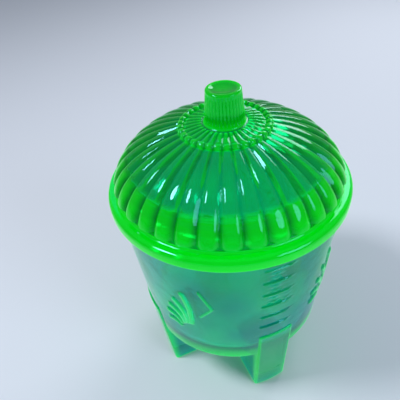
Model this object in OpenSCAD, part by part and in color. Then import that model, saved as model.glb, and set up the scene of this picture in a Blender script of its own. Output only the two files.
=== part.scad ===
// Footed pressed glass jar with a fluted, domed lid.
// Origin: on the jar's axis, at the height of the four foot bottoms. +Z is up, -Y is the front panel.

/* [Jar body] */
// Outside diameter of the jar at its mouth
mouth_d = 117.6; // [98:0.2:141]
// Outside diameter of the jar at the bottom of its wall
base_d = 102.8; // [90:0.2:114]
// Height of the body, from its underside to the mouth
body_h = 86; // [76:0.5:104]
// Thickness of the wall
wall_t = 4.6; // [3.6:0.1:5.6]
// Thickness of the floor
floor_t = 8.8; // [6:0.1:11]
// Radius of the rounded outer edge at the bottom of the wall
base_round = 3.5; // [2:0.1:4.5]
// Radius of the inner corner between wall and floor
floor_round = 4; // [2:0.1:6]
// Radius of the rounded mouth edges
mouth_round = 1.2; // [0.6:0.1:1.6]

/* [Feet] */
// Number of feet
foot_count = 4; // [3:1:5]
// Direction of the first foot, measured round from the front
foot_angle = 45; // [30:1:60]
// Height of the feet below the body
foot_h = 37.2; // [30:0.2:45]
// Width of a foot, across
foot_w = 20.4; // [16:0.2:25]
// Depth of a foot, from its outer face towards the axis
foot_depth = 22; // [16:0.5:24]
// Height of the foot's raised face where it runs up the wall
foot_face_h = 21; // [12:0.5:30]
// How far the foot's face stands out from the wall
foot_proud = 0.8; // [0.4:0.1:1.2]
// Radius of a foot's upright edges
foot_round = 1.6; // [0.8:0.1:3]

/* [Relief on the wall] */
// How far the relief stands out from the wall
relief_t = 0.7; // [0.4:0.1:1.2]
// Number of rungs above the first foot
rung_count = 6; // [3:1:6]
// Length of a rung
rung_w = 15.6; // [10:0.2:18]
// Height of a rung
rung_h = 1.6; // [1:0.1:2.4]
// Distance from one rung to the next
rung_pitch = 9.4; // [7.8:0.1:10.2]
// Distance from the mouth down to the top rung
rung_drop = 8; // [6:0.1:9.5]
// Width of the small pips between the upper rungs
pip_w = 1.7; // [1:0.1:2]
// Number of petals in the fan on each panel
petal_count = 5; // [3:1:6]
// Length of a fan petal
petal_l = 23; // [14:0.5:24]
// Width of a fan petal
petal_w = 3.6; // [2.6:0.1:3.8]
// Height of the fan's root above the underside of the body
fan_z = 27; // [22:0.5:32]

/* [Lid] */
// How far the lid's lip stands out past the jar's mouth
lip_over = 3.7; // [2:0.1:5]
// Height of the lid's upright lip
lip_h = 5; // [4:0.1:6.5]
// Step in from the lip to the foot of the flutes
shoulder_in = 3.1; // [2:0.1:4]
// Rise of the dome above the foot of the flutes
dome_rise = 32.8; // [27:0.2:39]
// Thickness of the dome
dome_t = 4.2; // [3:0.1:5]
// Number of flutes round the dome
flute_count = 34; // [24:1:40]
// Width of the groove between two flutes
groove_w = 1; // [0.6:0.1:1.4]
// Depth of the groove between two flutes
groove_t = 1.2; // [0.6:0.1:1.6]
// Radius of the beaded ring round the top of the dome
ring_r = 21.2; // [19:0.1:25]
// Radius of the ring's section
ring_t = 1.5; // [1:0.1:2]

/* [Lid flange] */
// Depth of the flange that drops into the mouth
flange_depth = 6; // [4:0.5:9]
// Thickness of the flange
flange_t = 5; // [3.5:0.1:6]
// Gap all round between the foot of the flange and the wall inside the mouth
flange_gap = 0.3; // [0.2:0.05:0.7]
// Gap between the lid's underside and the mouth it rests on
seat_gap = 0.2; // [0.1:0.05:0.3]

/* [Knob] */
// Diameter of the knob at its base
knob_base_d = 19.4; // [16:0.2:24]
// Diameter of the knob at its top
knob_top_d = 17; // [14:0.2:20]
// Height of the knob above the crown of the dome
knob_h = 16.4; // [13:0.2:20]
// Height of the bevel round the top of the knob
knob_bevel = 1; // [0.5:0.1:1.5]
// Depth of the hollow in the top of the knob
knob_dish = 1.4; // [0.8:0.1:2]

/* [Hidden] */
$fn = 96;
small_fn = 24;

mouth_r = mouth_d / 2;
base_r = base_d / 2;
mouth_z = foot_h + body_h;
wall_slope = (mouth_r - base_r) / body_h;
inner_mouth_r = mouth_r - wall_t;
rim_z = mouth_z - mouth_round;
floor_z = foot_h + floor_t;
corner_z = floor_z + floor_round;
inner_corner_r = wall_r(corner_z, -wall_t);
inner_slope = (inner_mouth_r - inner_corner_r) / (rim_z - corner_z);

seat_z = mouth_z + seat_gap;
lip_r = mouth_r + lip_over;
lip_top_z = seat_z + lip_h;
dome_r = lip_r - shoulder_in;
crown_z = lip_top_z + dome_rise;
flange_edge = [0.6, 1.2];
flange_z = seat_z - flange_depth;
flange_r = inner_mouth_r - (rim_z - flange_z - flange_edge[1]) * inner_slope - flange_gap;
lid_bore_r = flange_r - flange_t;
knob_top_z = crown_z + knob_h;

arc_steps = 8;
overlap = 1;

// Rungs: how far their middle is turned from the foot's, and where the pips stand beside it.
rung_turn = 3;
pipped_gaps = 3;
pip_rows = 2;
pip_columns = [-0.5 * pip_w, 2.6 * pip_w];

// Fan: where its root is beside the panel's middle, its first petal and the turn to the next.
// Its petals start where they stand clear of each other.
fan_x = -2;
fan_first = 100;
fan_turn = 22;
petal_space = 1.08;
petal_root = petal_space * petal_w / 2 / sin(fan_turn / 2) - petal_w / 2;

// Bent line beside the fan: its corner, its two arms and their width.
bend_corner = [petal_l * 0.48, petal_l * 1.1];
bend_arm = petal_l / 2;
bend_turn = 62;
bend_w = rung_h * 0.8;

// Lid: rounding of its lip, and the steps of the arcs.
lip_edge = 1.2;
lip_arc_steps = 4;
lip_step = 1.4;
lip_turn = 70;
dome_steps = 24;
inner_dome_steps = 16;
groove_steps = 12;
groove_foot = 5;
bead_r = ring_t * 1.25;
dish_steps = 6;

// Radius of the jar's wall at a height, set off outwards by a distance.
function wall_r(z, off = 0) = base_r + (z - foot_h) * wall_slope + off;

// Points on an arc in the profile plane, from angle a0 to angle a1.
function arc(cx, cz, rx, rz, a0, a1, n = arc_steps) =
    [for (i = [0 : n]) let (a = a0 + (a1 - a0) * i / n) [cx + rx * cos(a), cz + rz * sin(a)]];

// Angle on the dome's ellipse at which it has a given radius.
function dome_angle(r, a) = acos(r / a);

// Height of the outer dome at a radius.
function dome_z(r) = lip_top_z + dome_rise * sin(dome_angle(r, dome_r));

// Turns its children from a flat drawing into a bar that leaves the axis in a direction.
module outward(angle, z) {
    rotate([0, 0, angle])
        translate([0, 0, z])
            rotate([90, 0, 0])
                linear_extrude(height = mouth_r + 2 * foot_proud + overlap)
                    children();
}

// Solid of revolution that follows the wall's taper.
module wall_cone(z0, z1, off) {
    translate([0, 0, z0])
        cylinder(h = z1 - z0, r1 = wall_r(z0, off), r2 = wall_r(z1, off));
}

// Outer shape of the body, with a rounded bottom edge and mouth.
module body_outer() {
    low_z = foot_h + base_round;
    rotate_extrude()
        polygon(concat(
            [[0, foot_h]],
            arc(wall_r(low_z) - base_round, low_z, base_round, base_round, -90, 0),
            arc(mouth_r - mouth_round, rim_z, mouth_round, mouth_round, 0, 90),
            [[0, mouth_z]]
        ));
}

// Inside of the jar, open at the mouth.
module body_cavity() {
    rotate_extrude()
        polygon(concat(
            [[0, floor_z]],
            arc(inner_corner_r - floor_round, corner_z, floor_round, floor_round, -90, 0),
            [[inner_mouth_r, rim_z]],
            [[inner_mouth_r + mouth_round / 2, mouth_z + overlap]],
            [[0, mouth_z + overlap]]
        ));
}

// Outline of one foot seen from above, standing along -Y, with rounded upright edges.
module foot_plan() {
    outer = base_r + foot_face_h * wall_slope + foot_proud;
    inner = wall_r(0, foot_proud) - foot_depth;
    mid = (outer + inner) / 2;
    translate([0, -mid])
        square([foot_w, outer - inner - 2 * foot_round], center = true);
    translate([0, -mid])
        square([foot_w - 2 * foot_round, outer - inner], center = true);
    for (sx = [-1, 1])
        for (y = [-inner - foot_round, -outer + foot_round])
            translate([sx * (foot_w / 2 - foot_round), y])
                circle(r = foot_round);
}

// All the feet. Each outer face carries the wall's taper down and runs a little way up the wall.
module feet() {
    top_z = foot_h + foot_face_h;
    intersection() {
        wall_cone(0, top_z, foot_proud);
        for (i = [0 : foot_count - 1])
            rotate([0, 0, foot_angle + i * 360 / foot_count])
                linear_extrude(height = top_z)
                    foot_plan();
    }
}

// Rungs above the first foot, with columns of pips between the upper ones.
module rungs() {
    for (i = [0 : rung_count - 1]) {
        z = mouth_z - rung_drop - i * rung_pitch;
        outward(foot_angle - rung_turn, z)
            square([rung_w, rung_h], center = true);
        if (i < pipped_gaps)
            for (row = [1 : pip_rows])
                outward(foot_angle - rung_turn, z - row * rung_pitch / (pip_rows + 1))
                    for (x = pip_columns)
                        translate([x, 0])
                            square([pip_w, pip_w], center = true);
    }
}

// One petal, lying along +X from the fan's root, with round ends.
module petal() {
    straight = petal_l - petal_root - petal_w;
    translate([petal_root + petal_w / 2 + straight / 2, 0]) {
        square([straight, petal_w], center = true);
        for (sx = [-1, 1])
            translate([sx * straight / 2, 0])
                circle(d = petal_w, $fn = small_fn);
    }
}

// Fan of petals with a bent line beside it, drawn for one panel.
module panel_fan() {
    translate([fan_x, 0]) {
        for (i = [0 : petal_count - 1])
            rotate([0, 0, fan_first + i * fan_turn])
                petal();
        for (side = [-1, 1])
            translate(bend_corner)
                rotate([0, 0, 180 + side * bend_turn])
                    translate([bend_arm / 2, 0])
                        square([bend_arm, bend_w], center = true);
    }
}

// Everything that stands out from the wall, as bars from the axis, trimmed to one even height.
module relief() {
    intersection() {
        wall_cone(foot_h + base_round, rim_z, relief_t);
        union() {
            rungs();
            for (i = [0 : foot_count - 1])
                outward(foot_angle - 180 / foot_count + i * 360 / foot_count, foot_h + fan_z)
                    panel_fan();
        }
    }
}

// The jar: body, feet and relief, pressed as one piece of glass.
module jar() {
    color([0.10, 0.62, 0.36, 0.6])
        difference() {
            union() {
                body_outer();
                feet();
                relief();
            }
            body_cavity();
        }
}

// Profile of the lid: flange, underside, lip, shoulder, dome and crown, hollow inside.
module lid_blank() {
    inner_a = dome_r - dome_t;
    inner_b = dome_rise - dome_t;
    bore_angle = dome_angle(lid_bore_r, inner_a);
    edge_r = lip_r - lip_edge;
    rotate_extrude()
        polygon(concat(
            [[lid_bore_r, flange_z]],
            [[flange_r - flange_edge[0], flange_z]],
            [[flange_r, flange_z + flange_edge[1]]],
            [[flange_r, seat_z]],
            arc(edge_r, seat_z + lip_edge, lip_edge, lip_edge, -90, 0, lip_arc_steps),
            arc(edge_r, lip_top_z - lip_step - lip_edge, lip_edge, lip_edge, 0, lip_turn, lip_arc_steps),
            arc(0, lip_top_z, dome_r, dome_rise, 0, 90, dome_steps),
            arc(0, lip_top_z, inner_a, inner_b, 90, bore_angle, inner_dome_steps)
        ));
}

// One groove between two flutes: a thin slot that follows the dome from the shoulder to the ring.
module flute_groove() {
    head = dome_angle(ring_r + ring_t, dome_r);
    low = -groove_t;
    high = overlap;
    rotate([90, 0, 0])
        translate([0, 0, -groove_w / 2])
            linear_extrude(height = groove_w)
                polygon(concat(
                    arc(0, lip_top_z, dome_r + low, dome_rise + low, groove_foot, head, groove_steps),
                    arc(0, lip_top_z, dome_r + high, dome_rise + high, head, groove_foot, groove_steps)
                ));
}

// Raised ring round the crown, with one bead at the head of every flute.
module ring() {
    ring_z = dome_z(ring_r);
    rotate_extrude()
        translate([ring_r, ring_z])
            circle(r = ring_t, $fn = small_fn);
    for (i = [0 : flute_count - 1])
        rotate([0, 0, (i + 0.5) * 360 / flute_count])
            translate([ring_r, 0, ring_z])
                sphere(r = bead_r, $fn = small_fn);
}

// Knob with a bevelled, hollowed top.
module knob() {
    z0 = dome_z(knob_base_d / 2) - overlap;
    rotate_extrude()
        polygon(concat(
            [[0, z0]],
            [[knob_base_d / 2, z0]],
            [[knob_base_d / 2, z0 + 2 * overlap]],
            [[knob_top_d / 2, knob_top_z - knob_bevel]],
            [[knob_top_d / 2 - knob_bevel, knob_top_z]],
            arc(0, knob_top_z, knob_top_d / 2 - 2 * knob_bevel, knob_dish, 0, -90, dish_steps)
        ));
}

// The lid: dome, lip, flange, ring and knob, pressed as one piece of glass.
module lid() {
    color([0.05, 0.78, 0.10, 0.7])
        union() {
            difference() {
                lid_blank();
                for (i = [0 : flute_count - 1])
                    rotate([0, 0, i * 360 / flute_count])
                        flute_groove();
            }
            ring();
            knob();
        }
}

jar();
lid();
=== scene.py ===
"""Pressed uranium glass jar on four feet, with a fluted, domed lid.

Pieces are modelled in millimetres, standing on Z = 0 with their axis on Z, and brought to
metres as they are finished. Azimuths are measured from the front, -Y, towards +X.
"""

import logging
import math
from dataclasses import dataclass, field
from enum import Enum
from typing import Callable, Sequence

import bmesh
import bpy
from bmesh.types import BMesh, BMVert
from mathutils import Matrix, Vector


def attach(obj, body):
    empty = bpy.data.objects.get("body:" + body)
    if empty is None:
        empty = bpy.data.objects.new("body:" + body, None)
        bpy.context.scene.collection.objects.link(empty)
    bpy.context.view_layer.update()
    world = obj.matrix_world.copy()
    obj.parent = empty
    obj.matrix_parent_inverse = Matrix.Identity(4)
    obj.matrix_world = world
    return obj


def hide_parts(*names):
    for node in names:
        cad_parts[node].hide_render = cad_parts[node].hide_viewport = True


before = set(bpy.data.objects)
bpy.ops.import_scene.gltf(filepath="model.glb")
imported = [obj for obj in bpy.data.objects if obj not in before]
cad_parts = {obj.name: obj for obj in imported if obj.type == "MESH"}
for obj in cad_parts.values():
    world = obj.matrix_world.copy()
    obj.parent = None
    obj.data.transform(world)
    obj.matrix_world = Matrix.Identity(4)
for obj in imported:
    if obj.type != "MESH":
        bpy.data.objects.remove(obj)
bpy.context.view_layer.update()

log = logging.getLogger("uranium_jar")

# Metres in a millimetre, and the distances in millimetres at which vertices are welded and a
# plane cuts.
MM = 0.001
WELD = 0.002
CUT_REACH = 1e-4
# Keeps a length that is a whole number of steps from taking one more.
ROUNDING = 1e-6
# Angle in degrees past which an edge of the glass is drawn sharp.
SHARP_ANGLE = 38.0
# Azimuth of one quarter of the jar, which repeats the feet and the panels.
QUARTER = 90.0
# Point that the lamps face, in metres.
AIM = (0.0, 0.0, 0.09)
# Places of the Mix node's colour sockets, whose names its other kinds share.
MIX_FACTOR, MIX_FIRST, MIX_SECOND, MIX_RESULT = 0, 6, 7, 2

Colour = tuple[float, float, float]
Point = tuple[float, float]
VertexMove = Callable[[BMVert], None]


class Part(Enum):
    """The stretches of a profile that are carved in different ways once it has been spun."""

    PLAIN = 0
    KNOB = 1
    SPOKES = 2
    RING = 3
    FLUTES = 4
    WALL = 5


def clamp(value: float, low: float = 0.0, high: float = 1.0) -> float:
    """Keeps a value between two limits."""
    return max(low, min(high, value))


def soft_step(value: float) -> float:
    """Eases from 0 to 1 while value goes from 0 to 1."""
    share = clamp(value)
    return share * share * (3.0 - 2.0 * share)


def round_end(value: float) -> float:
    """Rises from 0 to 1 as a quarter circle does, while value goes from 0 to 1."""
    share = 1.0 - clamp(value)
    return math.sqrt(max(0.0, 1.0 - share * share))


def azimuth_of(x: float, y: float) -> float:
    """Azimuth of a point in degrees, from the front, -Y, towards +X."""
    return math.degrees(math.atan2(x, -y))


def radius_of(co: Vector) -> float:
    """Distance of a point from the axis."""
    return math.hypot(co.x, co.y)


def outward(co: Vector) -> Vector:
    """Level direction from the axis to a point."""
    return Vector((co.x, co.y, 0.0)).normalized()


def turn_mesh(mesh: BMesh, angle: float) -> None:
    """Turns a whole mesh about the axis.

    Args:
        mesh: the mesh.
        angle: the turn in degrees, from +X towards +Y.
    """
    bmesh.ops.rotate(
        mesh,
        cent=(0.0, 0.0, 0.0),
        matrix=Matrix.Rotation(math.radians(angle), 3, "Z"),
        verts=mesh.verts[:],
    )


# ---------------------------------------------------------------------------------------
# Modelling tools
# ---------------------------------------------------------------------------------------


class Profile:
    """A line drawn with a pen in the XZ plane, then spun round the Z axis into a closed shell."""

    def __init__(self, x: float, z: float) -> None:
        """Puts the pen down.

        Args:
            x: distance of the first point from the axis.
            z: height of the first point.
        """
        self.mesh: BMesh = bmesh.new()
        self.layer = self.mesh.verts.layers.int.new("part")
        self.part = Part.PLAIN
        self.tip: BMVert = self.mesh.verts.new((x, 0.0, z))

    def mark(self, part: Part) -> "Profile":
        """Sets the stretch that the next points belong to."""
        self.part = part
        return self

    def to(self, x: float, z: float, step: float = 2.5) -> "Profile":
        """Draws a straight line.

        Args:
            x: distance of its end from the axis.
            z: height of its end.
            step: the furthest that its vertices stand apart.

        Returns:
            The profile, so that calls can be chained.
        """
        path = Vector((x, 0.0, z)) - self.tip.co
        count = max(1, math.ceil(path.length / step - ROUNDING))
        for _ in range(count):
            grown = bmesh.ops.extrude_vert_indiv(self.mesh, verts=[self.tip])
            self.tip = grown["verts"][0]
            self.tip[self.layer] = self.part.value
            bmesh.ops.translate(self.mesh, vec=path / count, verts=[self.tip])
        return self

    def arc(
        self, cx: float, cz: float, turn: float, steps: int, squash: float = 1.0
    ) -> "Profile":
        """Turns the pen about a centre.

        Args:
            cx: distance of the centre from the axis.
            cz: height of the centre.
            turn: angle in degrees, from +X towards +Z.
            steps: number of edges.
            squash: height of the ellipse over its width, 1 for a circle.

        Returns:
            The profile, so that calls can be chained.
        """
        to_centre = Matrix.Translation((0.0, 0.0, -cz))
        bmesh.ops.scale(
            self.mesh, vec=(1.0, 1.0, 1.0 / squash), space=to_centre, verts=[self.tip]
        )
        old = set(self.mesh.verts)
        spun = bmesh.ops.spin(
            self.mesh,
            geom=[self.tip],
            cent=(cx, 0.0, cz),
            axis=(0.0, -1.0, 0.0),
            angle=math.radians(turn),
            steps=steps,
            use_duplicate=False,
        )
        start = self.tip
        self.tip = next(e for e in spun["geom_last"] if isinstance(e, BMVert))
        new = [v for v in self.mesh.verts if v not in old]
        for vert in new:
            vert[self.layer] = self.part.value
        bmesh.ops.scale(
            self.mesh, vec=(1.0, 1.0, squash), space=to_centre, verts=[start, *new]
        )
        return self

    def spin(self, sectors: Sequence[tuple[float, int]], start: float = 0.0) -> BMesh:
        """Spins the line all the way round, sector by sector.

        Args:
            sectors: the angle of each sector in degrees and how many steps it takes.
            start: angle in degrees of the first sector's edge, from +X towards +Y.

        Returns:
            The closed mesh, with its faces turned outwards.
        """
        mesh = self.mesh
        rim = mesh.verts[:] + mesh.edges[:]
        turn_mesh(mesh, start)
        for angle, steps in sectors:
            spun = bmesh.ops.spin(
                mesh,
                geom=rim,
                cent=(0.0, 0.0, 0.0),
                axis=(0.0, 0.0, 1.0),
                angle=math.radians(angle),
                steps=steps,
                use_merge=len(sectors) == 1,
                use_duplicate=False,
            )
            rim = spun["geom_last"]
        bmesh.ops.remove_doubles(mesh, verts=mesh.verts[:], dist=WELD)
        bmesh.ops.recalc_face_normals(mesh, faces=mesh.faces[:])
        return mesh


def finish_mesh(mesh: BMesh, name: str) -> bpy.types.Object:
    """Brings a mesh to metres and makes it a smooth-shaded object.

    Args:
        mesh: the mesh in millimetres, which is freed.
        name: the object's name.

    Returns:
        The object, at the origin and linked to the scene.
    """
    bmesh.ops.scale(mesh, vec=(MM, MM, MM), verts=mesh.verts[:])
    data = bpy.data.meshes.new(name)
    mesh.to_mesh(data)
    mesh.free()
    data.polygons.foreach_set("use_smooth", [True] * len(data.polygons))
    data.set_sharp_from_angle(angle=math.radians(SHARP_ANGLE))
    piece = bpy.data.objects.new(name, data)
    bpy.context.scene.collection.objects.link(piece)
    return piece


def paint(
    piece: bpy.types.Object, name: str, value_at: Callable[[Vector], float]
) -> None:
    """Writes a value between 0 and 1 on every vertex, for the finishes to read.

    Args:
        piece: the piece, in metres.
        name: the attribute's name.
        value_at: gives the value at a point in millimetres.
    """
    layer = piece.data.attributes.new(name, "FLOAT", "POINT")
    values = [clamp(value_at(v.co / MM)) for v in piece.data.vertices]
    layer.data.foreach_set("value", values)


# ---------------------------------------------------------------------------------------
# Finishes
# ---------------------------------------------------------------------------------------


def add_socket(
    tree: bpy.types.NodeTree, name: str, kind: str, way: str, value: object = None
) -> None:
    """Adds one named socket to a node group.

    Args:
        tree: the group.
        name: the socket's name.
        kind: Float, Vector or Color.
        way: INPUT or OUTPUT.
        value: its starting value.
    """
    socket = tree.interface.new_socket(
        name=name, in_out=way, socket_type=f"NodeSocket{kind}"
    )
    if value is not None:
        socket.default_value = value


class EffectGroups:
    """The effects that both finishes share, each a node group that is built once."""

    def __init__(self) -> None:
        """Builds every group."""
        self.ripple = self.build_ripple()
        self.wear = self.build_wear()
        self.glow = self.build_glow()

    @staticmethod
    def start(name: str) -> tuple[bpy.types.NodeTree, bpy.types.Node, bpy.types.Node]:
        """Makes an empty group with its two end nodes.

        Args:
            name: the group's name.

        Returns:
            The group, the node that its inputs enter by and the node that its outputs leave by.
        """
        tree = bpy.data.node_groups.new(name, "ShaderNodeTree")
        return (
            tree,
            tree.nodes.new("NodeGroupInput"),
            tree.nodes.new("NodeGroupOutput"),
        )

    @staticmethod
    def maths(
        tree: bpy.types.NodeTree, operation: str, first: object, second: object
    ) -> bpy.types.NodeSocket:
        """Adds a Math node.

        Args:
            tree: the tree it goes in.
            operation: its operation.
            first: a socket or a number.
            second: a socket or a number.

        Returns:
            The node's output.
        """
        node = tree.nodes.new("ShaderNodeMath")
        node.operation = operation
        for slot, value in zip(node.inputs, (first, second)):
            if isinstance(value, bpy.types.NodeSocket):
                tree.links.new(value, slot)
            else:
                slot.default_value = value
        return node.outputs[0]

    @staticmethod
    def noise(
        tree: bpy.types.NodeTree,
        vector: bpy.types.NodeSocket,
        scale: object,
        detail: float = 2.0,
    ) -> bpy.types.NodeSocket:
        """Adds a Noise Texture and returns its value.

        Args:
            tree: the tree it goes in.
            vector: the coordinates.
            scale: features to a metre, a socket or a number.
            detail: number of octaves.

        Returns:
            The noise, about 0.5 on average.
        """
        node = tree.nodes.new("ShaderNodeTexNoise")
        node.inputs["Detail"].default_value = detail
        tree.links.new(vector, node.inputs["Vector"])
        if isinstance(scale, bpy.types.NodeSocket):
            tree.links.new(scale, node.inputs["Scale"])
        else:
            node.inputs["Scale"].default_value = scale
        return node.outputs[0]

    def build_ripple(self) -> bpy.types.NodeTree:
        """Uneven surface that chilled glass takes from its mould: slow waves and a fine skin.

        Returns:
            The group.
        """
        tree, enter, leave = self.start("mould_ripple")
        add_socket(tree, "Vector", "Vector", "INPUT")
        add_socket(tree, "Wave Scale", "Float", "INPUT", 90.0)
        add_socket(tree, "Skin Scale", "Float", "INPUT", 700.0)
        add_socket(tree, "Skin Share", "Float", "INPUT", 0.12)
        add_socket(tree, "Height", "Float", "OUTPUT")
        wave = self.noise(tree, enter.outputs["Vector"], enter.outputs["Wave Scale"])
        skin = self.noise(tree, enter.outputs["Vector"], enter.outputs["Skin Scale"])
        share = self.maths(tree, "MULTIPLY", skin, enter.outputs["Skin Share"])
        total = self.maths(tree, "ADD", wave, share)
        tree.links.new(total, leave.inputs["Height"])
        return tree

    def build_wear(self) -> bpy.types.NodeTree:
        """Fine scratches and rubbing where the glass is touched.

        Returns:
            The group.
        """
        tree, enter, leave = self.start("rubbed_glass")
        add_socket(tree, "Vector", "Vector", "INPUT")
        add_socket(tree, "Rubbing", "Float", "INPUT", 0.0)
        add_socket(tree, "Clean", "Float", "INPUT", 0.03)
        add_socket(tree, "Rubbed", "Float", "INPUT", 0.3)
        add_socket(tree, "Scratch Scale", "Float", "INPUT", 900.0)
        add_socket(tree, "Roughness", "Float", "OUTPUT")
        smudge = self.noise(tree, enter.outputs["Vector"], scale=60.0, detail=3.0)
        scratch = self.noise(
            tree, enter.outputs["Vector"], enter.outputs["Scratch Scale"], detail=4.0
        )
        patchy = self.maths(tree, "MULTIPLY", scratch, enter.outputs["Rubbing"])
        worn = self.maths(tree, "MULTIPLY", patchy, enter.outputs["Rubbed"])
        film = self.maths(tree, "MULTIPLY", smudge, enter.outputs["Clean"])
        base = self.maths(tree, "ADD", film, enter.outputs["Clean"])
        total = self.maths(tree, "ADD", base, worn)
        tree.links.new(total, leave.inputs["Roughness"])
        return tree

    def build_glow(self) -> bpy.types.NodeTree:
        """Colour of the painted glow, which stands in for the glass lit by a violet lamp:
        brighter where the glass is thick and where painted highlights are laid, with a painted
        cooler cast towards the feet.

        Returns:
            The group.
        """
        tree, enter, leave = self.start("painted_uranium_glow")
        add_socket(tree, "Vector", "Vector", "INPUT")
        add_socket(tree, "Thickness", "Float", "INPUT", 0.5)
        add_socket(tree, "Thin", "Color", "INPUT", (0.0, 0.1, 0.05, 1.0))
        add_socket(tree, "Thick", "Color", "INPUT", (0.0, 0.6, 0.02, 1.0))
        add_socket(tree, "Low Thin", "Color", "INPUT", (0.0, 0.1, 0.1, 1.0))
        add_socket(tree, "Low", "Float", "INPUT", 0.0)
        add_socket(tree, "High", "Float", "INPUT", 0.1)
        add_socket(tree, "Cloud Scale", "Float", "INPUT", 45.0)
        add_socket(tree, "Cloud Share", "Float", "INPUT", 0.35)
        add_socket(tree, "Colour", "Color", "OUTPUT")
        split = tree.nodes.new("ShaderNodeSeparateXYZ")
        tree.links.new(enter.outputs["Vector"], split.inputs[0])
        height = tree.nodes.new("ShaderNodeMapRange")
        tree.links.new(split.outputs["Z"], height.inputs["Value"])
        tree.links.new(enter.outputs["Low"], height.inputs["From Min"])
        tree.links.new(enter.outputs["High"], height.inputs["From Max"])
        thin = self.mix(
            tree, height.outputs[0], enter.outputs["Low Thin"], enter.outputs["Thin"]
        )
        cloud = self.noise(tree, enter.outputs["Vector"], enter.outputs["Cloud Scale"])
        uneven = self.maths(tree, "SUBTRACT", cloud, 0.5)
        slight = self.maths(tree, "MULTIPLY", uneven, enter.outputs["Cloud Share"])
        painted_glow = self.maths(tree, "ADD", enter.outputs["Thickness"], slight)
        colour = self.mix(tree, painted_glow, thin, enter.outputs["Thick"])
        tree.links.new(colour, leave.inputs["Colour"])
        return tree

    @staticmethod
    def mix(
        tree: bpy.types.NodeTree,
        factor: bpy.types.NodeSocket,
        first: bpy.types.NodeSocket,
        second: bpy.types.NodeSocket,
    ) -> bpy.types.NodeSocket:
        """Adds a colour Mix node and returns its result.

        Args:
            tree: the tree it goes in.
            factor: the share of the second colour.
            first: the first colour.
            second: the second colour.

        Returns:
            The mixed colour.
        """
        node = tree.nodes.new("ShaderNodeMix")
        node.data_type = "RGBA"
        tree.links.new(factor, node.inputs[MIX_FACTOR])
        tree.links.new(first, node.inputs[MIX_FIRST])
        tree.links.new(second, node.inputs[MIX_SECOND])
        return node.outputs[MIX_RESULT]


@dataclass(frozen=True)
class UraniumGlass:
    """Clear pressed glass with a little uranium, with a painted green glow in place of the glow
    that violet light draws from it.
    """

    name: str
    tint: Colour
    depth_colour: Colour
    density: float
    thin_glow: Colour
    thick_glow: Colour
    low_glow: Colour
    glow_strength: float
    low: float
    high: float
    clean: float = 0.025
    rubbed: float = 0.45
    ripple: float = 0.35
    wave_scale: float = 90.0
    wave_height: float = 0.4
    cloud_scale: float = 45.0
    cloud_share: float = 0.35
    ior: float = 1.52
    sheen_tint: Colour = (0.25, 0.75, 1.0)

    def build(self, effects: EffectGroups) -> bpy.types.Material:
        """Builds the finish's material.

        Args:
            effects: the shared node groups.

        Returns:
            The material.
        """
        material = bpy.data.materials.new(self.name)
        material.use_nodes = True
        tree = material.node_tree
        shader = tree.nodes["Principled BSDF"]
        output = tree.nodes["Material Output"]
        place = tree.nodes.new("ShaderNodeTexCoord").outputs["Object"]

        shader.inputs["Base Color"].default_value = (*self.tint, 1.0)
        shader.inputs["Metallic"].default_value = 0.0
        shader.inputs["Transmission Weight"].default_value = 1.0
        shader.inputs["IOR"].default_value = self.ior
        shader.inputs["Specular Tint"].default_value = (*self.sheen_tint, 1.0)
        # Painted glow: the emission lights the glass though no lamp here makes it fluoresce.
        shader.inputs["Emission Strength"].default_value = self.glow_strength

        wear = self.group(tree, effects.wear, place)
        wear.inputs["Clean"].default_value = self.clean
        wear.inputs["Rubbed"].default_value = self.rubbed
        tree.links.new(self.painted(tree, "rubbing"), wear.inputs["Rubbing"])
        tree.links.new(wear.outputs["Roughness"], shader.inputs["Roughness"])

        # The painted glow's colour, read from the painted glow map on the mesh.
        glow = self.group(tree, effects.glow, place)
        glow.inputs["Thin"].default_value = (*self.thin_glow, 1.0)
        glow.inputs["Thick"].default_value = (*self.thick_glow, 1.0)
        glow.inputs["Low Thin"].default_value = (*self.low_glow, 1.0)
        glow.inputs["Low"].default_value = self.low * MM
        glow.inputs["High"].default_value = self.high * MM
        glow.inputs["Cloud Scale"].default_value = self.cloud_scale
        glow.inputs["Cloud Share"].default_value = self.cloud_share
        tree.links.new(self.painted(tree, "painted_glow"), glow.inputs["Thickness"])
        tree.links.new(glow.outputs["Colour"], shader.inputs["Emission Color"])

        ripple = self.group(tree, effects.ripple, place)
        ripple.inputs["Wave Scale"].default_value = self.wave_scale
        bump = tree.nodes.new("ShaderNodeBump")
        bump.inputs["Strength"].default_value = self.ripple
        bump.inputs["Distance"].default_value = self.wave_height * MM
        tree.links.new(ripple.outputs["Height"], bump.inputs["Height"])
        tree.links.new(bump.outputs["Normal"], shader.inputs["Normal"])

        depth = tree.nodes.new("ShaderNodeVolumeAbsorption")
        depth.inputs["Color"].default_value = (*self.depth_colour, 1.0)
        depth.inputs["Density"].default_value = self.density
        tree.links.new(depth.outputs["Volume"], output.inputs["Volume"])
        return material

    @staticmethod
    def group(
        tree: bpy.types.NodeTree,
        effect: bpy.types.NodeTree,
        place: bpy.types.NodeSocket,
    ) -> bpy.types.Node:
        """Places a shared effect in the material.

        Args:
            tree: the material's tree.
            effect: the shared group.
            place: the object's coordinates, which it is given.

        Returns:
            The group's node.
        """
        node = tree.nodes.new("ShaderNodeGroup")
        node.node_tree = effect
        tree.links.new(place, node.inputs["Vector"])
        return node

    @staticmethod
    def painted(tree: bpy.types.NodeTree, name: str) -> bpy.types.NodeSocket:
        """Reads a value that was painted on the mesh.

        Args:
            tree: the material's tree.
            name: the attribute's name.

        Returns:
            The value.
        """
        node = tree.nodes.new("ShaderNodeAttribute")
        node.attribute_type = "GEOMETRY"
        node.attribute_name = name
        return node.outputs["Fac"]


# The glow colours and strength set the painted glow; low_glow is its colour towards the bottom,
# between low and high in millimetres.
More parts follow.
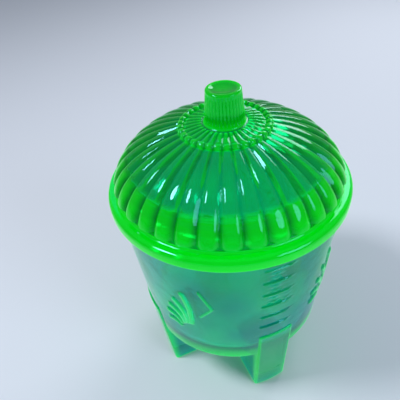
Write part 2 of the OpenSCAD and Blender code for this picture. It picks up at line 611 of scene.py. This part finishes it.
LID_GLASS = UraniumGlass(
    name="lid_glass",
    tint=(0.02, 0.52, 0.32),
    depth_colour=(0.0, 0.72, 0.50),
    density=280.0,
    thin_glow=(0.0, 0.045, 0.02),
    thick_glow=(0.0, 0.58, 0.0),
    low_glow=(0.0, 0.10, 0.0),
    glow_strength=0.7,
    low=120.0,
    high=160.0,
)

# low_glow gives the jar's painted glow a painted cooler cast towards the feet.
JAR_GLASS = UraniumGlass(
    name="jar_glass",
    tint=(0.02, 0.58, 0.60),
    depth_colour=(0.0, 0.72, 0.74),
    density=240.0,
    thin_glow=(0.0, 0.10, 0.03),
    thick_glow=(0.0, 0.62, 0.06),
    low_glow=(0.0, 0.06, 0.14),
    glow_strength=0.7,
    low=20.0,
    high=110.0,
    cloud_scale=26.0,
    cloud_share=0.8,
    ripple=0.5,
)


# ---------------------------------------------------------------------------------------
# Lid
# ---------------------------------------------------------------------------------------


@dataclass
class FlutedLid:
    """The lid: knob, spoked crown, beaded ring, fluted dome, lip, and the flange under it."""

    body: str = "lid"
    slot: str = "lid_glass"
    seat_z: float = 123.4
    lip_r: float = 62.45
    lip_low_round: float = 1.2
    lip_high_round: float = 2.6
    lip_shoulder_z: float = 127.4
    cove_r: float = 58.6
    cove_z: float = 131.5
    cove_round: float = 1.5
    dome_foot_z: float = 128.4
    dome_r: float = 59.4
    dome_rise: float = 32.8
    dome_t: float = 4.2
    dome_low_angle: float = 6.3
    dome_fine_angle: float = 17.0
    dome_inner_angle: float = 30.0
    flutes: int = 34
    columns: int = 12
    flute_depth: float = 0.19
    flute_flat: float = 3.6
    groove_share: float = 0.08
    tongue_z: float = 132.4
    tongue_rise: float = 1.1
    ring_r: float = 21.2
    ring_z: float = 159.15
    ring_t: float = 1.5
    ring_start: float = 175.0
    ring_turn: float = -193.0
    ring_sunk: float = 0.05
    bead_least: float = 0.66
    bead_swell: float = 0.52
    spoke_in: float = 11.2
    spoke_out: float = 19.5
    spoke_h: float = 0.55
    spoke_end: float = 1.3
    knob_r: float = 9.7
    knob_top_r: float = 8.5
    knob_low_z: float = 161.9
    knob_high_z: float = 176.55
    knob_round: float = 1.0
    knob_cove: float = 1.2
    rib_depth: float = 0.5
    dish_r: float = 6.7
    dish_z: float = 176.2
    dish_edge_w: float = 0.4
    dish_edge_drop: float = 0.15
    dish_edge_lip: float = 0.02
    flange_r: float = 53.6
    flange_z: float = 117.4
    flange_cove: float = 0.5
    flange_round: float = 1.0
    bore_r: float = 48.6
    bore_share: float = 0.45
    # Levels of the painted glow inside the dome, on the crown and on the flutes, and the height
    # and fade of the painted bright patches low on the flutes, which stand in for light refracted
    # through them.
    inside_glow: float = 0.14
    crown_glow: float = 0.1
    groove_glow: float = 0.2
    painted_patch_z: float = 144.0
    painted_patch_fade: float = 2.5
    finish: UraniumGlass = field(default=LID_GLASS)

    def dome_angle(self, r: float) -> float:
        """Angle in degrees on the dome's ellipse at which it has a radius."""
        return math.degrees(math.acos(r / self.dome_r))

    def dome_z(self, r: float) -> float:
        """Height of the dome at a radius."""
        return self.dome_foot_z + self.dome_rise * math.sqrt(1 - (r / self.dome_r) ** 2)

    def profile(self) -> Profile:
        """Draws the lid's section, from the knob's top over the outside to the inner crown.

        Returns:
            The section.
        """
        squash = self.dome_rise / self.dome_r
        top = self.knob_high_z + self.knob_round
        sag = top - self.dish_edge_drop - self.dish_z
        dish = (self.dish_r**2 + sag**2) / (2 * sag)
        pen = Profile(0.0, self.dish_z)
        pen.arc(
            0.0, self.dish_z + dish, math.degrees(math.asin(self.dish_r / dish)), 7
        )
        pen.to(self.dish_r + self.dish_edge_w, top - self.dish_edge_lip)
        pen.to(self.knob_top_r - self.knob_round, top)
        pen.arc(self.knob_top_r - self.knob_round, self.knob_high_z, -90.0, 6)

        pen.mark(Part.KNOB).to(self.knob_r, self.knob_low_z, 0.8)
        crown_r = self.knob_r + self.knob_cove
        pen.mark(Part.PLAIN).arc(crown_r, self.knob_low_z, 90.0, 5)

        crown = self.dome_angle(self.spoke_out + 0.1) - self.dome_angle(crown_r)
        pen.to(crown_r, self.dome_z(crown_r)).mark(Part.SPOKES)
        pen.arc(0.0, self.dome_foot_z, crown, 16, squash)

        start = math.radians(self.ring_start)
        pen.mark(Part.RING).to(
            self.ring_r + self.ring_t * math.cos(start),
            self.ring_z + self.ring_t * math.sin(start),
        )
        pen.arc(self.ring_r, self.ring_z, self.ring_turn, 16)

        head_r = self.ring_r + self.ring_t - self.ring_sunk
        head, low, foot = self.dome_angle(head_r), self.dome_fine_angle, self.dome_low_angle
        pen.mark(Part.FLUTES).to(head_r, self.dome_z(head_r))
        pen.arc(0.0, self.dome_foot_z, low - head, 42, squash)
        pen.arc(0.0, self.dome_foot_z, foot - low, 17, squash)

        flat_z = self.cove_z - self.cove_round
        pen.mark(Part.PLAIN).to(self.cove_r - self.cove_round, self.cove_z, 9.0)
        pen.arc(self.cove_r, self.cove_z, 90.0, 7)
        shoulder = self.lip_r - self.lip_high_round
        pen.to(shoulder, flat_z).arc(shoulder, self.lip_shoulder_z, -90.0, 9)
        low_z = self.seat_z + self.lip_low_round
        pen.to(self.lip_r, low_z, 1.5)
        pen.arc(self.lip_r - self.lip_low_round, low_z, -90.0, 6)

        cove_r, edge = self.flange_r + self.flange_cove, self.flange_round
        pen.to(cove_r, self.seat_z).arc(cove_r, self.seat_z - self.flange_cove, 90.0, 3)
        pen.to(self.flange_r, self.flange_z + edge)
        pen.arc(self.flange_r - edge, self.flange_z + edge, -90.0, 4)
        pen.to(self.bore_r + edge, self.flange_z)
        pen.arc(self.bore_r + edge, self.flange_z + edge, -90.0, 4)

        inner_r, inner_rise = self.dome_r - self.dome_t, self.dome_rise - self.dome_t
        turn = math.radians(self.dome_inner_angle)
        pen.to(self.bore_r, self.dome_foot_z + inner_rise * self.bore_share, 3.0)
        pen.to(
            inner_r * math.cos(turn), self.dome_foot_z + inner_rise * math.sin(turn)
        )
        rest = 90.0 - self.dome_inner_angle
        pen.arc(0.0, self.dome_foot_z, rest, 30, inner_rise / inner_r)
        return pen

    def phase(self, co: Vector) -> float:
        """Place across a flute: 0 at its crest and 1 or -1 in the grooves beside it."""
        turns = math.atan2(co.y, co.x) / (2 * math.pi) * self.flutes
        return 2.0 * (turns % 1.0) - 1.0

    def flute_shape(self, co: Vector) -> float:
        """Height of the flutes' surface over the grooves, with round lower ends.

        Args:
            co: the point.

        Returns:
            0 in a groove, and 1 on a crest.
        """
        across = clamp(abs(self.phase(co)) / (1.0 - self.groove_share))
        crest = 1.0 - across**self.flute_flat
        start = self.tongue_z + self.tongue_rise * across**6
        return crest * round_end((co.z - start) / 1.0)

    def carve(self, mesh: BMesh) -> None:
        """Moves the vertices of the spun blank into flutes, beads, spokes and ribs.

        Args:
            mesh: the blank, in millimetres.
        """
        layer = mesh.verts.layers.int["part"]
        cutters: dict[int, VertexMove] = {
            Part.FLUTES.value: self.carve_flute,
            Part.RING.value: self.carve_bead,
            Part.SPOKES.value: self.carve_spoke,
            Part.KNOB.value: self.carve_rib,
        }
        for vert in mesh.verts:
            cutter = cutters.get(vert[layer])
            if cutter:
                cutter(vert)

    def dome_normal(self, co: Vector) -> Vector:
        """Direction straight out of the dome's surface.

        Args:
            co: the point.

        Returns:
            The direction.
        """
        return Vector(
            (
                co.x / self.dome_r**2,
                co.y / self.dome_r**2,
                (co.z - self.dome_foot_z) / self.dome_rise**2,
            )
        ).normalized()

    def carve_flute(self, vert: BMVert) -> None:
        """Sinks the dome between the flutes' crests.

        Args:
            vert: the vertex, which is moved.
        """
        pitch = 2 * math.pi * radius_of(vert.co) / self.flutes
        sink = self.flute_depth * pitch * (1.0 - self.flute_shape(vert.co))
        vert.co -= self.dome_normal(vert.co) * sink

    def carve_bead(self, vert: BMVert) -> None:
        """Swells the ring into one bead for each flute.

        Args:
            vert: the vertex, which is moved.
        """
        across = self.phase(vert.co)
        crown = math.sqrt(max(0.0, 1.0 - across * across))
        swell = self.bead_least + self.bead_swell * crown
        out = outward(vert.co) * self.ring_r
        centre = Vector((out.x, out.y, self.ring_z))
        vert.co = centre + (vert.co - centre) * swell

    def carve_spoke(self, vert: BMVert) -> None:
        """Raises the crown into one spoke for each flute.

        Args:
            vert: the vertex, which is moved.
        """
        across = self.phase(vert.co)
        radius = radius_of(vert.co)
        ends = round_end((radius - self.spoke_in) / self.spoke_end) * round_end(
            (self.spoke_out - radius) / self.spoke_end
        )
        vert.co.z += self.spoke_h * (1.0 - across * across) * ends

    def carve_rib(self, vert: BMVert) -> None:
        """Cuts the fine upright ribs of the knob.

        Args:
            vert: the vertex, which is moved.
        """
        across = self.phase(vert.co)
        ends = soft_step((vert.co.z - self.knob_low_z - 0.3) / 1.2) * soft_step(
            (self.knob_high_z - 0.4 - vert.co.z) / 1.0
        )
        vert.co -= outward(vert.co) * self.rib_depth * across * across * ends

    def painted_glow_at(self, co: Vector) -> float:
        """How strongly the painted glow shows, from the thin dome to the solid lip and knob, with
        painted shade between the ribs and in the flutes' grooves, and painted highlights on the
        knob's rims and low on the flutes.

        Args:
            co: the point.

        Returns:
            0 for the dimmest painted glow, on the thinnest glass, and 1 for the brightest.
        """
        radius = radius_of(co)
        inside = (radius / (self.dome_r - 2.2)) ** 2 + (
            (co.z - self.dome_foot_z) / (self.dome_rise - 2.2)
        ) ** 2 < 1.0
        # Knob: painted shade between the ribs, painted highlights on its top rim and its base,
        # and a dimmer dish.
        if co.z > self.knob_low_z - 1.0:
            edge = soft_step((co.z - self.knob_high_z + 0.6) / 1.2)
            foot = 1.0 - soft_step((co.z - self.knob_low_z) / 2.0)
            dish = 0.85 * clamp((self.knob_top_r - 0.8 - radius) / 2.0) * edge
            return 0.88 - 0.35 * self.phase(co) ** 2 + 0.4 * max(edge, foot) - dish
        if co.z < self.tongue_z - 1.2:
            return 1.0 if not inside or radius > self.bore_r - 0.5 else 0.5
        if inside:
            return self.inside_glow
        if radius < self.spoke_in + 0.6:
            return self.crown_glow
        # Spokes and beads: the painted glow is brighter on their crests and dimmer between them.
        if radius < self.ring_r - 1.6:
            return 0.12 + 0.4 * (1.0 - self.phase(co) ** 2)
        if radius < self.ring_r + 1.8:
            return 0.9 - 0.75 * self.phase(co) ** 2
        # Flutes: painted shade in the grooves, and painted bright patches low on each flute that
        # stand in for light refracted through it.
        groove = self.flute_shape(co)
        painted_patch = 1.0 - soft_step((co.z - self.painted_patch_z) / self.painted_patch_fade)
        return groove * (self.groove_glow + 0.8 * painted_patch)

    def rubbing_at(self, co: Vector) -> float:
        """Wear where the lid is held and where it rests.

        Args:
            co: the point.

        Returns:
            0 for clean glass, and 1 for the most rubbed.
        """
        radius = radius_of(co)
        held = soft_step((co.z - self.knob_high_z) / 1.0) * 0.35
        rests = 0.6 if co.z < self.seat_z + 0.3 and radius > self.bore_r else 0.0
        edge = 0.25 * soft_step((radius - self.lip_r + 0.6) / 0.6)
        return max(held, rests, edge)

    def build(self, effects: EffectGroups) -> bpy.types.Object:
        """Models the lid and dresses it.

        Args:
            effects: the shared node groups.

        Returns:
            The finished piece, riding on its body.
        """
        mesh = self.profile().spin([(360.0, self.flutes * self.columns)])
        self.carve(mesh)
        piece = finish_mesh(mesh, "fluted_lid")
        paint(piece, "painted_glow", self.painted_glow_at)
        paint(piece, "rubbing", self.rubbing_at)
        piece.data.materials.append(self.finish.build(effects))
        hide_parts("lid")
        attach(piece, self.body)
        return piece


# ---------------------------------------------------------------------------------------
# Jar
# ---------------------------------------------------------------------------------------


@dataclass(frozen=True)
class Stroke:
    """A raised stroke of the relief: a bar with round ends, which may bend.

    Places are in millimetres on the unrolled wall, across the panel and up from the feet.
    """

    start: Point
    end: Point
    width: float
    height: float
    bend: float = 0.0

    def height_at(self, across: float, up: float) -> float:
        """Height of the stroke over the wall at a point.

        Args:
            across: distance round the wall from the panel's middle.
            up: height above the ground.

        Returns:
            The height, 0 beyond the stroke.
        """
        dx, dz = self.end[0] - self.start[0], self.end[1] - self.start[1]
        length = math.hypot(dx, dz)
        ux, uz = dx / length, dz / length
        px, pz = across - self.start[0], up - self.start[1]
        along = px * ux + pz * uz
        share = clamp(along / length)
        side = -px * uz + pz * ux - self.bend * 4.0 * share * (1.0 - share)
        past = along - share * length
        gap = math.hypot(side, past) / (self.width / 2.0)
        return 0.0 if gap >= 1.0 else self.height * math.sqrt(1.0 - gap * gap)


@dataclass
class PanelRelief:
    """The fan of petals and the bent line that each panel of the jar carries."""

    root: Point = (-3.0, 62.5)
    angles: tuple[float, ...] = (95.0, 108.5, 124.0, 145.0, 170.0)
    reaches: tuple[float, ...] = (35.0, 28.5, 23.5, 20.0, 17.0)
    inner: float = 6.5
    width: float = 3.9
    height: float = 0.95
    bend: float = -1.5
    corner: Point = (9.2, 88.3)
    arms: tuple[Point, ...] = ((3.7, 101.2), (2.6, 79.8))
    line_w: float = 1.5

    def strokes(self) -> list[Stroke]:
        """Lays out the strokes of one panel.

        Returns:
            The strokes, across the wall from the panel's middle.
        """
        made = []
        for turn, reach in zip(self.angles, self.reaches):
            angle = math.radians(turn)
            near, far = self.inner + self.width / 2, reach - self.width / 2
            ux, uz = math.cos(angle), math.sin(angle)
            made.append(
                Stroke(
                    (self.root[0] + near * ux, self.root[1] + near * uz),
                    (self.root[0] + far * ux, self.root[1] + far * uz),
                    self.width,
                    self.height,
                    self.bend,
                )
            )
        for tip in self.arms:
            made.append(Stroke(self.corner, tip, self.line_w, self.height))
        return made


@dataclass
class RungColumn:
    """The column of rungs above one foot, with pips between the upper ones."""

    azimuth: float = 42.0
    count: int = 6
    top: float = 116.4
    pitch: float = 9.65
    length: float = 15.6
    width: float = 1.5
    height: float = 0.8
    pipped: int = 3
    pip: float = 1.9
    pip_reach: float = 0.2
    columns: tuple[float, ...] = (-0.85, 4.4)

    def strokes(self) -> list[Stroke]:
        """Lays out the rungs and pips.

        Returns:
            The strokes, across the wall from the column's own middle.
        """
        made = []
        reach = (self.length - self.width) / 2
        for i in range(self.count):
            z = self.top - i * self.pitch
            made.append(Stroke((-reach, z), (reach, z), self.width, self.height))
            if i < self.pipped:
                for row in (1, 2):
                    low = z - row * self.pitch / 3
                    for x in self.columns:
                        left, right = (x - self.pip_reach, low), (x + self.pip_reach, low)
                        made.append(Stroke(left, right, self.pip, self.height))
        return made


@dataclass
class JarFoot:
    """One block foot, whose outer face follows the wall's taper and runs a little way up it."""

    width: float = 20.4
    inner_r: float = 27.0
    outer_low_r: float = 49.0
    face_top_z: float = 58.2
    face_top_r: float = 54.01
    body_z: float = 37.2
    sunk_z: float = 42.0
    skin: float = 2.6
    edge: float = 1.1
    edge_angle: float = 0.9
    fillet: float = 2.6
    bend_from: float = 40.0
    flare_to: float = 47.5
    side_cuts: tuple[float, ...] = (0.0, 2.0, 4.0, 6.0, 7.6, 8.5)
    level_cuts: tuple[float, ...] = (
        *(1.8, 2.8, 5.0, 9.0, 14.0, 20.0, 27.0, 33.0),
        *(47.0, 52.0, 56.0),
    )
    fillet_cuts: tuple[float, ...] = (2.6, 2.0, 1.5, 1.0, 0.6, 0.3, 0.1, -0.5)
    depth_cuts: tuple[float, ...] = (28.6, 30.0, 36.0, 42.0, 44.5, 46.0)

    def build(self, azimuth: float) -> BMesh:
        """Models the foot.

        Args:
            azimuth: where it stands, in degrees.

        Returns:
            Its closed mesh, in millimetres.
        """
        slope = (self.face_top_r - self.outer_low_r) / self.face_top_z
        mesh = bmesh.new()
        half = self.width / 2
        outline = [
            (self.outer_low_r, 0.0),
            (self.face_top_r, self.face_top_z),
            (self.face_top_r - self.skin, self.face_top_z),
            (self.outer_low_r - self.skin + slope * self.sunk_z, self.sunk_z),
            (self.inner_r, self.sunk_z),
            (self.inner_r, 0.0),
        ]
        side = mesh.faces.new([mesh.verts.new((-half, -r, z)) for r, z in outline])
        grown = bmesh.ops.extrude_face_region(mesh, geom=[side])
        moved = [v for v in grown["geom"] if isinstance(v, BMVert)]
        bmesh.ops.translate(mesh, vec=(self.width, 0.0, 0.0), verts=moved)
        bmesh.ops.recalc_face_normals(mesh, faces=mesh.faces[:])
        bmesh.ops.bevel(
            mesh,
            geom=[e for e in mesh.edges if e.calc_face_angle(0.0) > self.edge_angle],
            offset=self.edge,
            offset_type="OFFSET",
            segments=4,
            profile=0.5,
            affect="EDGES",
            material=-1,
            clamp_overlap=True,
        )
        for x in self.side_cuts:
            for side in (-1.0, 1.0):
                self.cut(mesh, (side * x, 0.0, 0.0), (1.0, 0.0, 0.0))
        for z in self.level_cuts:
            self.cut(mesh, (0.0, 0.0, z), (0.0, 0.0, 1.0))
        for drop in self.fillet_cuts:
            self.cut(mesh, (0.0, 0.0, self.body_z - drop), (0.0, 0.0, 1.0))
        for reach in self.depth_cuts:
            self.cut(mesh, (0.0, -reach, 0.0), (0.0, 1.0, 0.0))
        for vert in mesh.verts:
            self.shape(vert)
        bmesh.ops.triangulate(mesh, faces=mesh.faces[:])
        turn_mesh(mesh, azimuth)
        return mesh

    @staticmethod
    def cut(mesh: BMesh, place: tuple, normal: tuple) -> None:
        """Cuts every face along a plane, so that it can bend there.

        Args:
            mesh: the foot.
            place: a point on the plane.
            normal: the plane's normal.
        """
        bmesh.ops.bisect_plane(
            mesh,
            geom=mesh.verts[:] + mesh.edges[:] + mesh.faces[:],
            plane_co=place,
            plane_no=normal,
            dist=CUT_REACH,
        )

    def shape(self, vert: BMVert) -> None:
        """Bends the outer face round the axis and flares the foot where it meets the body.

        Args:
            vert: the vertex, which is moved.
        """
        reach = -vert.co.y
        if reach > self.bend_from:
            vert.co.y = -math.sqrt(reach * reach - vert.co.x * vert.co.x)
        rise = self.fillet - (self.body_z - vert.co.z)
        if rise > 0.0 and reach < self.flare_to:
            rise = min(rise, self.fillet)
            flare = self.fillet - math.sqrt(max(0.0, self.fillet**2 - rise**2))
            flare *= clamp((self.flare_to + 1.0 - reach) / 2.0)
            vert.co.x += math.copysign(flare, vert.co.x) * clamp(
                abs(vert.co.x) / (self.width / 2) * 3.0 - 2.0
            )
            vert.co.y += flare * clamp((self.inner_r + 2.0 - reach) / 2.0)


@dataclass
class FootedJar:
    """The jar: a tapered round body with relief on its wall, on four feet."""

    body: str = "jar"
    slot: str = "jar_glass"
    low_z: float = 37.2
    base_r: float = 51.4
    mouth_r: float = 58.8
    mouth_z: float = 123.2
    wall_t: float = 4.6
    floor_t: float = 8.8
    base_round: float = 3.5
    floor_round: float = 4.0
    mouth_round: float = 1.2
    relief_low: float = 57.0
    relief_high: float = 119.6
    fan_start: float = -24.0
    fan_span: float = 36.0
    fan_steps: int = 68
    rung_gap: float = 5.0
    rung_span: float = 19.0
    rung_steps: int = 46
    plain_step: float = 2.25
    # Levels of the painted glow on the wall and inside, and the painted highlight along the
    # feet's edges, with how near an edge it reaches.
    wall_glow: float = 0.10
    inside_glow: float = 0.08
    edge_glow: float = 0.95
    edge_reach: float = 1.2
    feet: tuple[float, ...] = (45.0, 135.0, 225.0, 315.0)
    foot: JarFoot = field(default_factory=JarFoot)
    relief: PanelRelief = field(default_factory=PanelRelief)
    rungs: RungColumn = field(default_factory=RungColumn)
    finish: UraniumGlass = field(default=JAR_GLASS)

    def wall_r(self, z: float) -> float:
        """Radius of the outer wall at a height."""
        slope = (self.mouth_r - self.base_r) / (self.mouth_z - self.low_z)
        return self.base_r + (z - self.low_z) * slope

    def profile(self) -> Profile:
        """Draws the body's section, from under the floor over the rim to the inside.

        Returns:
            The section.
        """
        turn_z = self.low_z + self.base_round
        turn_r = self.wall_r(turn_z) - self.base_round
        rim = self.mouth_z - self.mouth_round
        inner = self.mouth_r - self.wall_t
        floor = self.low_z + self.floor_t
        corner_z = floor + self.floor_round
        corner_r = self.wall_r(corner_z) - self.wall_t - self.floor_round
        pen = Profile(0.0, self.low_z)
        pen.to(turn_r, self.low_z, 5.0)
        pen.arc(turn_r, turn_z, 90.0, 8)
        pen.mark(Part.WALL)
        pen.to(self.wall_r(self.relief_low), self.relief_low, 2.4)
        pen.to(self.wall_r(self.relief_high), self.relief_high, 0.5)
        pen.mark(Part.PLAIN).to(self.mouth_r, rim)
        pen.arc(self.mouth_r - self.mouth_round, rim, 90.0, 5)
        pen.to(inner + self.mouth_round, self.mouth_z)
        pen.arc(inner + self.mouth_round, rim, 90.0, 5)
        pen.to(corner_r + self.floor_round, corner_z, 5.0)
        pen.arc(corner_r, corner_z, -90.0, 6)
        pen.to(0.0, floor, 6.0)
        return pen

    def sectors(self) -> list[tuple[float, int]]:
        """Lays out the spin, with close columns where the relief stands.

        Returns:
            The angle of each sector in degrees and how many steps it takes.
        """
        fan, rung = (self.fan_span, self.fan_steps), (self.rung_span, self.rung_steps)
        between = QUARTER - self.fan_span
        after = between - self.rung_gap - self.rung_span
        first = [fan, (self.rung_gap, 2), rung, (after, 13)]
        plain = (between / 2, round(between / 2 / self.plain_step))
        return first + [fan, plain, plain] * 3

    def emboss(self, mesh: BMesh) -> None:
        """Raises the relief on the wall.

        Args:
            mesh: the spun body, in millimetres.
        """
        layer = mesh.verts.layers.int["part"]
        fans, rungs = self.relief.strokes(), self.rungs.strokes()
        for vert in mesh.verts:
            if vert[layer] != Part.WALL.value:
                continue
            rise = self.relief_at(vert.co, fans, rungs)
            if rise > 0.0:
                vert.co += outward(vert.co) * rise

    def relief_at(
        self, co: Vector, fans: Sequence[Stroke], rungs: Sequence[Stroke]
    ) -> float:
        """Height of the relief at a point of the wall.

        Args:
            co: the point.
            fans: the strokes of a panel.
            rungs: the strokes of the rung column.

        Returns:
            The height over the plain wall.
        """
        azimuth = azimuth_of(co.x, co.y)
        arc = math.radians(1.0) * radius_of(co)
        across = (azimuth - QUARTER * round(azimuth / QUARTER)) * arc
        beside = (azimuth - self.rungs.azimuth) * arc
        rise = max((s.height_at(across, co.z) for s in fans), default=0.0)
        if abs(beside) < self.rungs.length:
            rise = max(rise, *(s.height_at(beside, co.z) for s in rungs))
        return rise

    def painted_glow_at(self, co: Vector) -> float:
        """How strongly the painted glow shows: most at the rim, the floor's edge and the feet,
        and brighter on the raised relief.

        Args:
            co: the point.

        Returns:
            0 for the dimmest painted glow, on the thinnest glass, and 1 for the brightest.
        """
        radius = radius_of(co)
        wall = self.wall_r(co.z)
        proud = clamp((radius - wall) / 0.8)
        if co.z < self.low_z - 0.2 or self.on_foot_face(co, proud):
            return self.foot_glow(co, radius)
        if self.low_z + 1.0 < co.z and radius < wall - self.wall_t + 0.3:
            floor = 1.0 - soft_step((co.z - self.low_z - self.floor_t) / 5.0)
            return self.inside_glow + 0.4 * floor * soft_step((radius - 34.0) / 10.0)
        base = 1.0 - soft_step((co.z - self.low_z - 5.0) / 9.0)
        rim = soft_step((co.z - self.mouth_z + 4.0) / 3.0)
        beside = abs(azimuth_of(co.x, co.y) - self.rungs.azimuth)
        share = 0.25 if beside < 10.0 else 0.8
        wall_glow = self.wall_glow
        return max(wall_glow, 0.75 * base, 0.9 * rim, wall_glow + share * proud)

    def across_foot(self, co: Vector) -> float:
        """Distance of a point to the side of the middle of the nearest foot."""
        azimuth = azimuth_of(co.x, co.y) % QUARTER - QUARTER / 2
        return abs(math.sin(math.radians(azimuth))) * radius_of(co)

    def on_foot_face(self, co: Vector, proud: float) -> bool:
        """Whether a point is on the raised face of a foot, where it runs up the wall."""
        low = co.z < self.foot.face_top_z + 0.3
        return low and proud > 0.1 and self.across_foot(co) < self.foot.width / 2 + 0.3

    def foot_glow(self, co: Vector, radius: float) -> float:
        """How strongly the painted glow shows on a foot: painted highlights along its edges, and
        brighter over its outer face.

        Args:
            co: the point.
            radius: its distance from the axis.

        Returns:
            The painted glow, from 0 to 1.
        """
        near = self.edge_reach
        edges = (
            self.foot.width / 2 - self.across_foot(co) < near,
            co.z < near or self.foot.face_top_z - co.z < near,
            self.wall_r(co.z) + 0.8 - radius < near,
            radius - self.foot.inner_r < near,
        )
        outer = clamp((radius - self.wall_r(co.z) + 1.5) / 1.5)
        return self.edge_glow if sum(edges) > 1 else 0.22 + 0.2 * outer

    def rubbing_at(self, co: Vector) -> float:
        """Wear under the feet, on the rim, and a little on what stands proud.

        Args:
            co: the point.

        Returns:
            0 for clean glass, and 1 for the most rubbed.
        """
        radius = radius_of(co)
        under = 1.0 - soft_step(co.z / 0.8)
        rim = 0.5 * soft_step((co.z - self.mouth_z + 0.6) / 0.5)
        proud = 0.2 * clamp((radius - self.wall_r(co.z) - 0.4) / 0.3)
        return max(under, rim, proud if co.z > self.low_z else 0.0)

    def join_feet(self, piece: bpy.types.Object) -> None:
        """Melts the feet into the body, so that the glass is one piece.

        Args:
            piece: the body, in metres.
        """
        for azimuth in self.feet:
            foot = finish_mesh(self.foot.build(azimuth), "foot_blank")
            union = piece.modifiers.new("foot", "BOOLEAN")
            union.operation = "UNION"
            union.solver = "EXACT"
            union.object = foot
            graph = bpy.context.evaluated_depsgraph_get()
            joined = bpy.data.meshes.new_from_object(piece.evaluated_get(graph))
            piece.modifiers.clear()
            old = piece.data
            piece.data = joined
            bpy.data.meshes.remove(old)
            bpy.data.meshes.remove(foot.data)

    def build(self, effects: EffectGroups) -> bpy.types.Object:
        """Models the jar and dresses it.

        Args:
            effects: the shared node groups.

        Returns:
            The finished piece, riding on its body.
        """
        front = -90.0
        mesh = self.profile().spin(self.sectors(), front + self.fan_start)
        self.emboss(mesh)
        piece = finish_mesh(mesh, "footed_jar")
        self.join_feet(piece)
        piece.data.name = piece.name
        piece.data.set_sharp_from_angle(angle=math.radians(SHARP_ANGLE))
        paint(piece, "painted_glow", self.painted_glow_at)
        paint(piece, "rubbing", self.rubbing_at)
        piece.data.materials.clear()
        piece.data.materials.append(self.finish.build(effects))
        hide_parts("jar")
        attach(piece, self.body)
        return piece


# ---------------------------------------------------------------------------------------
# Studio
# ---------------------------------------------------------------------------------------


@dataclass(frozen=True)
class SoftBox:
    """A soft studio lamp."""

    name: str
    place: tuple[float, float, float]
    size: float
    power: float
    colour: Colour = (1.0, 1.0, 1.0)

    def build(self) -> None:
        """Hangs the lamp, facing the object."""
        data = bpy.data.lights.new(self.name, "AREA")
        data.shape = "DISK"
        data.size = self.size
        data.energy = self.power
        data.color = self.colour
        lamp = bpy.data.objects.new(self.name, data)
        bpy.context.scene.collection.objects.link(lamp)
        lamp.location = self.place
        aim = Vector(AIM) - lamp.location
        lamp.rotation_mode = "QUATERNION"
        lamp.rotation_quaternion = aim.to_track_quat("-Z", "Y")


@dataclass
class Studio:
    """Pale floor, soft light and the camera."""

    lens: float = 38.7
    camera_azimuth: float = 20.6
    camera_reach: float = 180.75
    camera_height: float = 263.1
    pitch: float = 39.71
    yaw: float = -4.98
    roll: float = -6.08
    floor_size: float = 6.0
    floor_colour: Colour = (0.68, 0.73, 0.82)
    floor_roughness: float = 0.7
    world_colour: Colour = (0.84, 0.90, 1.0)
    world_strength: float = 0.32
    lamps: tuple[SoftBox, ...] = (
        SoftBox("key", (-0.40, -0.25, 0.80), 0.22, 4.0),
        SoftBox("fill", (0.75, -0.25, 0.50), 0.45, 2.5, (0.80, 0.88, 1.0)),
        SoftBox("back", (0.15, 0.80, 0.60), 0.50, 3.0),
    )

    def build_floor(self) -> None:
        """Lays the floor."""
        mesh = bmesh.new()
        bmesh.ops.create_grid(
            mesh, x_segments=1, y_segments=1, size=self.floor_size / 2 / MM
        )
        floor = finish_mesh(mesh, "floor")
        material = bpy.data.materials.new("pale_floor")
        material.use_nodes = True
        shader = material.node_tree.nodes["Principled BSDF"]
        shader.inputs["Base Color"].default_value = (*self.floor_colour, 1.0)
        shader.inputs["Roughness"].default_value = self.floor_roughness
        floor.data.materials.append(material)

    def build_world(self) -> None:
        """Surrounds the scene with pale, even light."""
        world = bpy.data.worlds.new("studio")
        bpy.context.scene.world = world
        world.use_nodes = True
        sky = world.node_tree.nodes["Background"]
        sky.inputs["Color"].default_value = (*self.world_colour, 1.0)
        sky.inputs["Strength"].default_value = self.world_strength

    def build_camera(self) -> None:
        """Sets the camera up, looking down on the jar from its front and right."""
        data = bpy.data.cameras.new("camera")
        data.lens = self.lens
        data.clip_start = 0.01
        camera = bpy.data.objects.new("camera", data)
        bpy.context.scene.collection.objects.link(camera)
        yaw, pitch = math.radians(self.yaw), math.radians(self.pitch)
        forward = Vector(
            (
                math.sin(yaw) * math.cos(pitch),
                math.cos(yaw) * math.cos(pitch),
                -math.sin(pitch),
            )
        )
        right = forward.cross(Vector((0.0, 0.0, 1.0))).normalized()
        axes = Matrix((right, right.cross(forward), -forward)).transposed().to_4x4()
        roll = Matrix.Rotation(math.radians(self.roll), 4, "Z")
        place = Matrix.Translation(
            (0.0, -self.camera_reach * MM, self.camera_height * MM)
        )
        turn = Matrix.Rotation(math.radians(self.camera_azimuth), 4, "Z")
        camera.matrix_world = turn @ place @ axes @ roll
        bpy.context.scene.camera = camera

    def build(self) -> None:
        """Builds the whole studio."""
        self.build_floor()
        self.build_world()
        self.build_camera()
        for lamp in self.lamps:
            lamp.build()
        bpy.context.scene.view_settings.view_transform = "Standard"


def main() -> None:
    """Builds the jar, its lid and the studio, and reports each piece."""
    logging.basicConfig(level=logging.INFO, format="%(name)s: %(message)s")
    effects = EffectGroups()
    for maker in (FootedJar(), FlutedLid()):
        piece = maker.build(effects)
        piece.data.calc_loop_triangles()
        log.info("%s: %d triangles", piece.name, len(piece.data.loop_triangles))
    Studio().build()
    log.info("studio ready")


if __name__ == "__main__":
    main()
